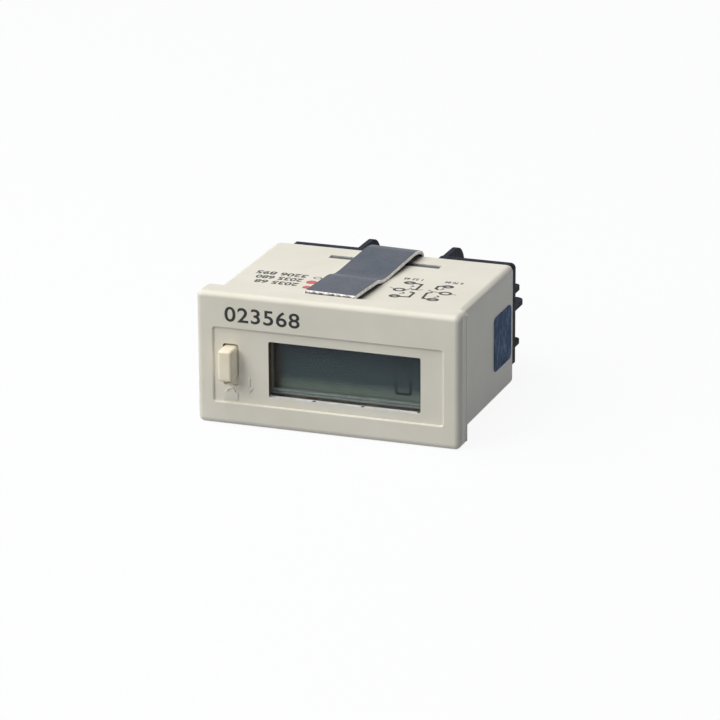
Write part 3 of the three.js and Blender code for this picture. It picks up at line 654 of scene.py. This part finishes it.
def joined(pieces, name):
    """Several meshes made one piece."""
    activate(pieces[0])
    for other in pieces[1:]:
        other.select_set(True)
    bpy.ops.object.join()
    pieces[0].name = name
    return pieces[0]


figure = paint(joined(bars, "display_figure"), faint)
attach(figure, "case")
print("the figure has", len(figure.data.polygons), "faces")

# %% [markdown]
# The button is moulded in a slightly warmer cream. It stands 3.1 mm out of the recess, and so that it
# leaves the mould its face is a little smaller than its foot, with every edge rounded. Its collar sits
# behind the slot's guide plate, and a stem behind it carries the contact.

# %% Button
def rod(name, radius, x, y, z, sides=48):
    """A round rod along y between two limits."""
    deselect()
    bpy.ops.mesh.primitive_cylinder_add(
        vertices=sides,
        radius=radius * MM,
        depth=(y[1] - y[0]) * MM,
        location=spot(x, (y[0] + y[1]) / 2, z),
        rotation=(math.pi / 2, 0, 0),
    )
    return settle(name)


def narrow(piece, wanted, scale):
    """Shrinks the faces of a piece that pass the test, so that its sides lean."""
    pick_faces(piece, wanted)
    bpy.ops.transform.resize(value=scale)
    bpy.ops.object.mode_set(mode="OBJECT")


button_cream, tree, surface, place = begin("moulded_button_abs", IOR=1.53, Roughness=0.42)
mottled(tree, surface, place, 2.5, [(0.3, "FBF1D8"), (0.7, "FFF8E6")], 3)
embossed(tree, surface, noise(tree, place, 0.35, 4), 0.08, 0.03)

button_front = -6.9
collar_y = (-1.5, -0.75)
button_z = (-3.35, 2.4)
button = block("reset_cap", grown(button_gap_x, -0.15), (button_front, collar_y[0]), button_z)
narrow(button, lambda middle, normal: normal.y < -0.9, (0.97, 1, 0.98))
round_off(button, lambda a, b: abs((b - a).normalized().y) > 0.9, 0.5, 6)
round_off(button, lambda a, b: max(a.y, b.y) < button_front + 0.01, 0.5, 7)
collar = block("collar", grown(button_gap_x, 0.3), collar_y, grown(button_z, 0.45))
carve(button, collar, "UNION")
carve(button, rod("stem", 1.1, -17.85, (-1.2, 1.95), -0.475), "UNION")
soften(button, 0.06)
paint(button, button_cream)
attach(button, "reset")
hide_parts("reset_button")
paint(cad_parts["lock_slider"], cream)

# %% [markdown]
# Beside and below the slot the mould leaves a raised mark that says which way the button locks. Here it is
# a plain padlock and an arrow that points down, a sixth of a millimetre high and in the case's own cream,
# so that only its edges show. The padlock's bow is a thin ring whose lower part is cut away.

# %% Raised mark
plate_y = (-3.96, -3.75)
lock_body = block("padlock", (-19.15, -16.55), plate_y, (-7.3, -5.95))
round_off(lock_body, runs_along(1), 0.25, 3)
deselect()
bpy.ops.mesh.primitive_torus_add(
    location=spot(-17.85, -3.84, -5.95),
    rotation=(math.pi / 2, 0, 0),
    major_segments=32,
    minor_segments=8,
    major_radius=0.72 * MM,
    minor_radius=0.15 * MM,
)
bow = settle("padlock_bow")
pick_faces(bow, lambda middle, normal: middle.z < -6.2)
bpy.ops.mesh.delete(type="FACE")
bpy.ops.mesh.select_all(action="SELECT")
bpy.ops.mesh.fill_holes(sides=0)
bpy.ops.object.mode_set(mode="OBJECT")
shaft = block("arrow_shaft", (-14.62, -14.28), plate_y, (-4.9, -3.2))
head = block("arrow_head", (-15.15, -13.75), plate_y, (-5.75, -4.85))
narrow(head, lambda middle, normal: normal.z < -0.9, (0.08, 1, 1))
mark = paint(joined([lock_body, bow, shaft, head], "raised_lock_mark"), cream)
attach(mark, "case")
print("the raised mark has", len(mark.data.polygons), "faces")

# %% [markdown]
# The printing is screen ink, a film of a few hundredths of a millimetre that lies on the plastic. Here it
# is plain numbers. A line of them is made with Blender's own font, turned into a mesh and then fitted to a
# width and a height.

# %% Printing inks
black_ink, tree, surface, place = begin("black_screen_ink", Roughness=0.55)
mottled(tree, surface, place, 0.4, [(0.3, "0B0C0F"), (0.75, "151719")], 3)
grey_ink, tree, surface, place = begin("thin_black_screen_ink", Roughness=0.55)
mottled(tree, surface, place, 0.4, [(0.3, "15171A"), (0.75, "272A2C")], 3)
red_ink, tree, surface, place = begin("red_screen_ink", Roughness=0.55)
mottled(tree, surface, place, 0.5, [(0.3, "CF4A50"), (0.75, "DC6468")], 3)


def lettering(name, figures, across, along, spacing=1.0, heavier=0.0):
    """Figures lying flat, fitted to a width and a height in millimetres, with their middle at the origin."""
    deselect()
    bpy.ops.object.text_add()
    text = bpy.context.object
    text.data.body = figures
    text.data.space_character = spacing
    text.data.offset = heavier
    text.data.extrude = 0.01
    bpy.ops.object.convert(target="MESH")
    made = bpy.context.object
    size = made.dimensions
    made.scale = (across * MM / size.x, along * MM / size.y, 0.03 * MM / size.z)
    settle(name)
    bpy.ops.object.origin_set(type="ORIGIN_GEOMETRY", center="BOUNDS")
    made.location = (0, 0, 0)
    bpy.ops.object.transform_apply(location=True, rotation=False, scale=False)
    return made


def set_down(piece, place, turn):
    """Turns a flat piece and moves it to its place, both inside its mesh."""
    activate(piece)
    piece.rotation_euler = turn
    piece.location = place
    bpy.ops.object.transform_apply(location=True, rotation=True, scale=True)
    return piece

# %% Front figures
upright = (math.pi / 2, 0, 0)
title = lettering("front_figures", "023568", 13.8, 2.7, 1.08, 0.013)
set_down(title, spot(-11.8, -4.205, 8.25), upright)
paint(title, black_ink)
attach(title, "case")
print("the front figures are", round(title.dimensions.x / MM, 2), "mm wide")

# %% [markdown]
# On top there are three lines of figures with a round mark before each. They are read from behind, so they
# are turned half a turn. A ring is a disc whose middle is inset and removed.

# %% Marks on the top
flat_back = (0, 0, math.pi)


def dot(name, x, y, radius, level=case_top):
    """A round printed mark, on the top of the case unless another level is given."""
    deselect()
    bpy.ops.mesh.primitive_cylinder_add(
        vertices=32, radius=radius * MM, depth=0.03 * MM, location=spot(x, y, level + 0.005)
    )
    return settle(name)


def ring(name, x, y, wide, deep, line):
    """A printed ring, wide in x and deep in y, outer sizes."""
    made = dot(name, x, y, 1)
    pick_faces(made, lambda middle, normal: abs(normal.z) > 0.9)
    bpy.ops.mesh.inset(thickness=2 * line / (wide + deep) * 2 * MM)
    bpy.ops.mesh.bridge_edge_loops()
    bpy.ops.mesh.select_all(action="SELECT")
    bpy.ops.transform.resize(value=(wide / 2, deep / 2, 1), center_override=spot(x, y, case_top))
    bpy.ops.object.mode_set(mode="OBJECT")
    return made


rows = [("2035 68", 7.2, -13.5, 8.0), ("2035 680", 9.75, -13.9, 8.6), ("3206 895", 12.2, -14.3, 9.4)]
for number, (figures, y, x, across) in enumerate(rows, 1):
    words = lettering(f"top_figures_{number}", figures, across, 1.75, 1.0, 0.022)
    set_down(words, spot(x, y, case_top + 0.005), flat_back)
    paint(words, grey_ink)
    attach(words, "case")
    print(words.name, "are", round(words.dimensions.x / MM, 1), "mm wide")

red_marks = joined([dot("red_1", -7.5, 6.35, 0.7), dot("red_2", -7.75, 9.35, 0.88)], "red_marks")
paint(red_marks, red_ink)
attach(red_marks, "case")
open_mark = joined(
    [
        ring("open_mark", -7.55, 11.98, 1.6, 1.2, 0.18),
        ring("red_rim_1", -7.5, 6.35, 1.5, 1.5, 0.08),
        ring("red_rim_2", -7.75, 9.35, 1.86, 1.86, 0.08),
    ],
    "open_mark",
)
paint(open_mark, grey_ink)
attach(open_mark, "case")

# %% [markdown]
# Beside them are two small wiring diagrams, each with three terminals and a few wires. A wire is a thin
# block between two points, or several in a row.

# %% Wiring diagrams
def line(name, points, width=0.46):
    """Printed lines through these points, each a thin block with its ends overlapping."""
    made = []
    for (x0, y0), (x1, y1) in zip(points, points[1:]):
        length = math.hypot(x1 - x0, y1 - y0) + width * 0.6
        deselect()
        bpy.ops.mesh.primitive_cube_add(
            size=1,
            location=spot((x0 + x1) / 2, (y0 + y1) / 2, case_top + 0.004),
            rotation=(0, 0, math.atan2(y1 - y0, x1 - x0)),
            scale=(length * MM, width * MM, 0.028 * MM),
        )
        made.append(settle(name))
        round_off(made[-1], runs_along(2), width * 0.3, 2)
    return made


terminals = {
    "left_diagram": [(8.58, 14.54, 2.2, 1.7), (8.1, 10.28, 2.3, 1.9), (8.53, 6.62, 2.1, 1.7)],
    "right_diagram": [(15.6, 14.48, 2.1, 1.7), (16.4, 10.68, 2.4, 1.9), (15.43, 6.72, 2.2, 1.7)],
}
wires = {
    "left_diagram": [
        (0.46, [(9.7, 14.5), (10.9, 14.3), (10.9, 11.3), (10.2, 11.0)]),
        (0.46, [(9.6, 6.6), (11.1, 6.8), (11.15, 9.3), (10.4, 9.6)]),
        (0.22, [(9.25, 10.3), (9.9, 11.65)]),
        (0.14, [(6.1, 11.2), (7.0, 10.6)]),
        (0.2, [(9.4, 12.3), (9.9, 12.9), (9.5, 13.2)]),
        (0.24, [(8.9, 8.2), (9.6, 8.6), (9.2, 9.1)]),
        (0.14, [(11.1, 10.9), (12.0, 11.5)]),
    ],
    "right_diagram": [
        (0.46, [(14.6, 14.6), (13.9, 14.2), (13.9, 12.9), (14.4, 12.4)]),
        (0.46, [(14.4, 6.7), (13.5, 6.9), (13.3, 9.9), (14.0, 10.5)]),
        (0.22, [(13.0, 11.6), (13.9, 11.0), (15.2, 10.9)]),
        (0.24, [(14.9, 12.4), (15.3, 13.0), (15.0, 13.3)]),
        (0.24, [(15.2, 8.0), (15.9, 8.5), (15.5, 9.1)]),
        (0.14, [(17.5, 10.6), (18.4, 10.4)]),
    ],
}
for name, places in terminals.items():
    pieces = [ring("terminal_ring", *place, 0.48) for place in places]
    for width, points in wires[name]:
        pieces += line("wire", points, width)
    for place in (places[0], places[2]):
        pieces += line("mark", [(place[0] - 0.5, place[1] - 0.15), (place[0] + 0.5, place[1] + 0.2)], 0.3)
    drawing = paint(joined(pieces, name), grey_ink)
    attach(drawing, "case")
    print(name, "has", len(drawing.data.polygons), "faces")

# %% [markdown]
# Each diagram has a caption of plain numbers. The sill of the window has three dark specks, such as scorched
# grains leave in moulded plastic.

# %% Captions and specks
speck_places = ((-2.72, -3.2, 0.34), (6.15, -3.2, 0.3), (16.2, -3.0, 0.28))
specks = [dot("speck", x, y, radius, window_z[0]) for x, y, radius in speck_places]
specks = paint(joined(specks, "sill_specks"), black_ink)
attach(specks, "case")
captions = [("left_caption", "1 23 45", 8.5, 16.75, 3.4), ("right_caption", "6 70 89", 15.9, 16.95, 3.3)]
for name, figures, x, y, across in captions:
    words = lettering(name, figures, across, 1.05, 1.0, 0.02)
    set_down(words, spot(x, y, case_top + 0.005), flat_back)
    paint(words, grey_ink)
    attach(words, "case")
    print(name, "is", round(words.dimensions.x / MM, 1), "mm wide")

# %% [markdown]
# The clip is a strip of spring steel, rolled, blanked and bent, with a thin blue-grey zinc finish. Rolling
# leaves a soft mottle and the bends show it as streaks. Along the blanked sides the steel is bare and
# brighter. Metal reflects the white room, so its colour is close to what the eye sees on its flat top.

# %% Steel finishes
steel, tree, surface, place = begin("zinc_plated_spring_steel", Metallic=1.0)
stretched = add(tree, "ShaderNodeMapping", None, {"Vector": place, "Scale": (1.0, 0.55, 1.0)})
mottle = noise(tree, stretched.outputs["Vector"], 3.2, 6, 0.62)
tinted(tree, surface, mottle, [(0.25, "455060"), (0.5, "4F5662"), (0.75, "5C5E68")])
unevenly_rough(tree, surface, noise(tree, place, 0.5, 4), 0.34, 0.56)
embossed(tree, surface, mottle, 0.15, 0.05)

bare, tree, surface, place = begin("blanked_steel_edge", Metallic=0.85, Roughness=0.5)
mottled(tree, surface, place, 0.9, [(0.3, "C6C3C0"), (0.55, "E2E0DD"), (0.8, "F0EFED")], 5)

# The lip's face is where the strip was torn off: bright, with a row of dark pits half way up.
torn, tree, surface, place = begin("torn_steel_lip", Metallic=0.4, Roughness=0.45)
parts = add(tree, "ShaderNodeSeparateXYZ", None, {"Vector": place})
pits = noise(tree, place, 0.55, 4, 0.6)
away = reckon(tree, "ABSOLUTE", reckon(tree, "SUBTRACT", parts.outputs["Z"], spot(0, 0, 11.92).z))
near = add(
    tree,
    "ShaderNodeMapRange",
    None,
    {"Value": away, "From Min": 0.0, "From Max": 0.4 * MM, "To Min": 0.44, "To Max": 0.0},
)
pitted = reckon(tree, "SUBTRACT", pits, near.outputs["Result"])
tinted(tree, surface, pitted, [(0.12, "2E3138"), (0.25, "8F8C8C"), (0.4, "DAD4D2")])

# %% [markdown]
# The strip's shape is one line seen from the side: a lip, a raised plateau, a joggle down, a long rise to
# the crest and a curl that hangs behind the case. A short plane is extruded along that line step by step,
# and Solidify then gives it the thickness of the steel.

# %% Line of the clip
strip_thickness = 0.65
strip_width = 9.3
tab_place = (0.46, 24.9)
strip_skew = math.radians(-3.75)


def arc(y, z, radius, start, end, steps=9):
    """Points of an arc round a centre, from one angle to another in degrees."""
    angles = [math.radians(start + (end - start) * i / steps) for i in range(steps + 1)]
    return [(y + radius * math.cos(a), z + radius * math.sin(a)) for a in angles]


plateau = case_top + 1.3 - strip_thickness / 2
dip = case_top + 0.72 - strip_thickness / 2
crest = case_top + 1.64 - strip_thickness / 2
lip = 0.45 + strip_thickness / 2
joggle = interpolate_bezier((9.6, plateau), (11.7, plateau), (11.7, dip), (13.8, dip), 12)
curl = interpolate_bezier((27.0, crest), (29.75, crest), (31.35, crest - 0.75), (30.95, crest - 1.95), 18)
line_of_clip = (
    [(lip, case_top + 0.15)]
    + arc(lip + 0.36, plateau - 0.36, 0.36, 180, 90)
    + [(3.5, plateau), (6.5, plateau)]
    + [(p[0], p[1]) for p in joggle]
    + [(14.9, dip + 0.02), (16.0, dip + 0.083), (20.0, dip + 0.388), (24.0, dip + 0.692)]
    + [(p[0], p[1]) for p in curl]
)


def on_strip(across, y, z):
    """A place on the clip, turned a little about its tab as the strip sits in the slot."""
    forward = y - tab_place[1]
    return spot(
        tab_place[0] + across * math.cos(strip_skew) - forward * math.sin(strip_skew),
        tab_place[1] + across * math.sin(strip_skew) + forward * math.cos(strip_skew),
        z,
    )


print("the clip's line has", len(line_of_clip), "points")

# %% Bent strip
lip_y, lip_low = line_of_clip[0]
lip_high = line_of_clip[1][1]
deselect()
bpy.ops.mesh.primitive_plane_add(
    size=1,
    location=on_strip(0, lip_y, (lip_low + lip_high) / 2),
    rotation=(math.pi / 2, 0, strip_skew),
)
bpy.context.object.scale = (strip_width * MM, (lip_high - lip_low) * MM, 1)
clip = settle("spring_clip")
pick_edges(clip, lambda a, b: min(a.z, b.z) > lip_high - 0.01)
for (y0, z0), (y1, z1) in zip(line_of_clip[1:], line_of_clip[2:]):
    step = on_strip(0, y1, z1) - on_strip(0, y0, z0)
    if step.length > 0.01 * MM:
        bpy.ops.mesh.extrude_region_move(TRANSFORM_OT_translate={"value": step})
bpy.ops.mesh.select_all(action="SELECT")
bpy.ops.mesh.normals_make_consistent(inside=False)
bpy.ops.object.mode_set(mode="OBJECT")
thick = clip.modifiers.new("thickness", "SOLIDIFY")
thick.thickness = strip_thickness * MM
thick.offset = 0
thick.use_even_offset = True
activate(clip)
bpy.ops.object.modifier_apply(modifier=thick.name)
print("the clip is", round(clip.dimensions.y / MM, 1), "mm long")

# %% [markdown]
# A tab with a hook and two wings holds the strip in the slot. They are blocks that are joined to it. The
# blanked sides and the face of the lip then get finishes of their own.

# %% Tab and finishes of the clip
def strip_block(name, across, y, z):
    """A block on the clip, so wide across its middle and between two limits in y and z."""
    deselect()
    bpy.ops.mesh.primitive_cube_add(
        size=1,
        location=on_strip(0, sum(y) / 2, sum(z) / 2),
        rotation=(0, 0, strip_skew),
        scale=(across * MM, (y[1] - y[0]) * MM, (z[1] - z[0]) * MM),
    )
    return settle(name)


wings = block("clip_wings", grown(clip_slot_x, -0.1), (24.35, 25.5), (8.75, 10.9))
round_off(wings, lambda a, b: abs(a.x - b.x) < 0.1 and abs(a.z - b.z) < 0.1, 0.15, 3)
carve(clip, strip_block("clip_tab", 6, (24.58, 25.22), (8.8, 12.0)), "UNION")
carve(clip, wings, "UNION")
carve(clip, strip_block("clip_hook", 6.002, (22.5, 25.19), (8.675, 9.325)), "UNION")
soften(clip, 0.07, 2, 50)
paint(clip, steel, bare, torn)
across = Vector((math.cos(strip_skew), math.sin(strip_skew), 0))
paint_faces(clip, 1, lambda middle, normal: abs(normal.dot(across)) > 0.6)
paint_faces(clip, 2, lambda middle, normal: middle.y < 1.2 and normal.y < -0.3)
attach(clip, "clip")
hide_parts("mounting_clip")

# %% [markdown]
# A dark blue metallised foil label is stuck on the right side. Its film is rubbed and slightly crinkled, so
# it looks mottled, with soft upright streaks. The frame's own label has the right outline but only sharp
# triangles. So a copy of it is merged into plain faces, and its edges are broken.

# %% Foil label
def copied(piece, name):
    """A copy of a piece with its own mesh."""
    made = bpy.data.objects.new(name, piece.data.copy())
    bpy.context.scene.collection.objects.link(made)
    activate(made)
    return made


def welded(node, name):
    """A copy of a frame piece with its triangles joined at their corners, open in edit mode."""
    piece = copied(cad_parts[node], name)
    bpy.ops.object.mode_set(mode="EDIT")
    bpy.ops.mesh.select_all(action="SELECT")
    bpy.ops.mesh.remove_doubles(threshold=0.002 * MM)
    return piece


def retrimmed(node, name, width):
    """A copy of a frame piece with its triangles merged into plain faces and its edges broken."""
    piece = welded(node, name)
    bpy.ops.mesh.dissolve_limited(angle_limit=math.radians(1))
    bpy.ops.object.mode_set(mode="OBJECT")
    piece.data.materials.clear()
    soften(piece, width)
    return piece


foil, tree, surface, place = begin("metallised_foil_label", Roughness=0.4, Specular_IOR_Level=0.01)
streaky = add(tree, "ShaderNodeMapping", None, {"Vector": place, "Scale": (1.0, 1.0, 0.45)})
cloudy = noise(tree, streaky.outputs["Vector"], 1.2, 6, 0.75)
tinted(tree, surface, cloudy, [(0.34, "375070"), (0.5, "55749A"), (0.66, "93B0D6")])
embossed(tree, surface, cloudy, 0.3, 0.08)
label = retrimmed("side_label", "foil_label", 0.03)
paint(label, foil)
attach(label, "case")
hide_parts("side_label")

# %% [markdown]
# The terminal block is moulded in black glass-filled plastic. The glass fibres leave a faint blue-grey
# bloom on the skin, which is why its fins don't look quite black. The frame's own block already has the
# right fins and wells, so here too a copy of it is enough.

# %% Black block
black, tree, surface, place = begin("glass_filled_black_nylon", IOR=1.53, Specular_IOR_Level=0.02)
bloom = noise(tree, place, 2.2, 6, 0.65)
tinted(tree, surface, bloom, [(0.3, "1C1F28"), (0.55, "2A2F3C"), (0.8, "3D4454")])
unevenly_rough(tree, surface, bloom, 0.62, 0.38)
embossed(tree, surface, noise(tree, place, 0.4, 4), 0.15, 0.03)
terminal_housing = retrimmed("terminal_block", "terminal_housing", 0.12)
paint(terminal_housing, black)
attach(terminal_housing, "case")
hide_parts("terminal_block")

# %% [markdown]
# Each terminal is a plated brass plate, a square steel clamp and a pan-head screw with a cross recess. The
# three are bright plated metal. Their roughness varies in fine patches, as plating does, and the brass
# shows warm through thin places.

# %% Plated metals
nickel, tree, surface, place = begin("nickel_plated_steel", Metallic=1.0)
patches = mottled(tree, surface, place, 0.8, [(0.3, "B3B4B2"), (0.7, "CBCBC8")], 5)
unevenly_rough(tree, surface, patches, 0.2, 0.42)
brass, tree, surface, place = begin("tinned_brass", Metallic=1.0)
patches = mottled(tree, surface, place, 1.4, [(0.3, "A8935E"), (0.55, "BDB08A"), (0.8, "C9C3AF")], 5)
unevenly_rough(tree, surface, patches, 0.28, 0.5)

# %% [markdown]
# The screw is modelled once, at the first terminal. Its head is a short rod with a rounded rim, its thread
# is a row of grooves cut round the shank, and the recess is a cross of two blocks that get narrower towards
# the bottom.

# %% One terminal screw
terminal_places = {1: (15, 5.78), 2: (15, -4.22), 3: (-15, 5.78), 4: (-15, -4.22)}
head_y = 36.0
head_radius = 2.6
thread_radius = 1.5
pitch = 0.5
x1, z1 = terminal_places[1]
screw = rod("pan_screw_1", head_radius, x1, (head_y, head_y + 2), z1)
round_off(screw, lambda a, b: min(a.y, b.y) > head_y + 1.99, 0.8, 6)
shank = rod("shank", thread_radius, x1, (head_y - 6, head_y + 0.2), z1)
carve(screw, shank, "UNION")
for n in range(11):
    y = head_y - 5.7 + pitch * n
    groove = rod("thread_groove", thread_radius + 0.3, x1, (y, y + 0.26), z1)
    core = rod("thread_core", thread_radius - 0.22, x1, (y - 1, y + 1), z1)
    carve(groove, core)
    carve(screw, groove)
for long_x, long_z in ((3.4, 0.7), (0.7, 3.4)):
    slit = block(
        "recess_arm",
        (x1 - long_x / 2, x1 + long_x / 2),
        (head_y + 1.0, head_y + 3),
        (z1 - long_z / 2, z1 + long_z / 2),
    )
    narrow(slit, lambda middle, normal: normal.y < -0.9, (0.7, 1, 0.7))
    carve(screw, slit)
soften(screw, 0.04, 2)
paint(screw, nickel)

clamp = retrimmed("clamp_plate_1", "clamp_washer_1", 0.08)
paint(clamp, nickel)

# %% [markdown]
# The screw and its clamp are copied to the other three terminals, each copy with its own mesh, because
# every one of them moves by itself.

# %% Four terminals
def repeat(piece, name, shift):
    """A copy with its own mesh, moved inside that mesh."""
    made = copied(piece, name)
    made.location = shift
    bpy.ops.object.transform_apply(location=True, rotation=False, scale=False)
    return made


for number, (x, z) in terminal_places.items():
    shift = spot(x, 0, z) - spot(x1, 0, z1)
    one_screw = screw if number == 1 else repeat(screw, f"pan_screw_{number}", shift)
    one_clamp = clamp if number == 1 else repeat(clamp, f"clamp_washer_{number}", shift)
    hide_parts(f"terminal_screw_{number}")
    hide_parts(f"clamp_plate_{number}")
    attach(one_screw, f"screw_{number}")
    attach(one_clamp, f"clamp_{number}")
    contact = retrimmed(f"terminal_contact_{number}", f"contact_strip_{number}", 0.06)
    paint(contact, brass)
    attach(contact, "case")
    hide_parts(f"terminal_contact_{number}")

# %% [markdown]
# The rest lies inside the case and hardly shows. The frame's own solids have the right shapes, so they keep
# them and get the finish of the real things: a green lacquered circuit board with copper tracks under the
# lacquer, a black chip, steel cans, blue sleeves and rubber.

# %% Inner finishes
board, tree, surface, place = begin("green_circuit_board", Roughness=0.35)
tracks = add(
    tree,
    "ShaderNodeTexBrick",
    {"offset": 0.5},
    {
        "Vector": place,
        "Scale": per_mm(1),
        "Mortar Size": 0.12,
        "Brick Width": 2.4,
        "Row Height": 1.1,
        "Color1": colour("2B6440"),
        "Color2": colour("306C47"),
        "Mortar": colour("4C8A58"),
    },
)
tree.links.new(tracks.outputs["Color"], surface.inputs["Base Color"])
epoxy, tree, surface, place = begin("moulded_epoxy_chip", Roughness=0.6)
mottled(tree, surface, place, 0.4, [(0.3, "1C1D20"), (0.7, "2A2B2F")], 4)
sleeve, tree, surface, place = begin("shrunk_pvc_sleeve", Roughness=0.35)
mottled(tree, surface, place, 3, [(0.3, "355F88"), (0.7, "42749F")], 2)
rubber, tree, surface, place = begin("carbon_silicone_rubber", Roughness=0.85)
layers = add(
    tree,
    "ShaderNodeTexWave",
    {"bands_direction": "X"},
    {"Vector": place, "Scale": per_mm(2.5), "Distortion": 0.5},
)
tinted(tree, surface, layers.outputs["Fac"], [(0.3, "202022"), (0.7, "3A3A3D")])
mirror, tree, surface, place = begin("brushed_reflector_foil", Metallic=0.6, Roughness=0.4)
mottled(tree, surface, place, 0.9, [(0.3, "858C80"), (0.7, "9AA194")], 4)

inner_finishes = {
    board: ["display_board", "main_board"],
    epoxy: ["driver_chip", "board_header"],
    nickel: ["crystal_can", "battery_cell", "battery_tab_positive", "battery_tab_negative"],
    sleeve: ["capacitor_front", "capacitor_rear"],
    rubber: ["zebra_strip_top", "zebra_strip_bottom", "contact_pill"],
    mirror: ["lcd_reflector"],
}
for finish, nodes in inner_finishes.items():
    for node in nodes:
        paint(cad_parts[node], finish)
print("inner pieces finished:", sum(len(nodes) for nodes in inner_finishes.values()))

# %% [markdown]
# The return spring stands on the board, and only its front end follows the button. A copy of it therefore
# moves with the guide plate.

# %% Return spring
coil = welded("reset_spring", "return_spring")
bpy.ops.object.mode_set(mode="OBJECT")
bpy.ops.object.shade_smooth_by_angle(angle=math.radians(80))
paint(coil, nickel)
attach(coil, "lock")
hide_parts("reset_spring")
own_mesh(coil)
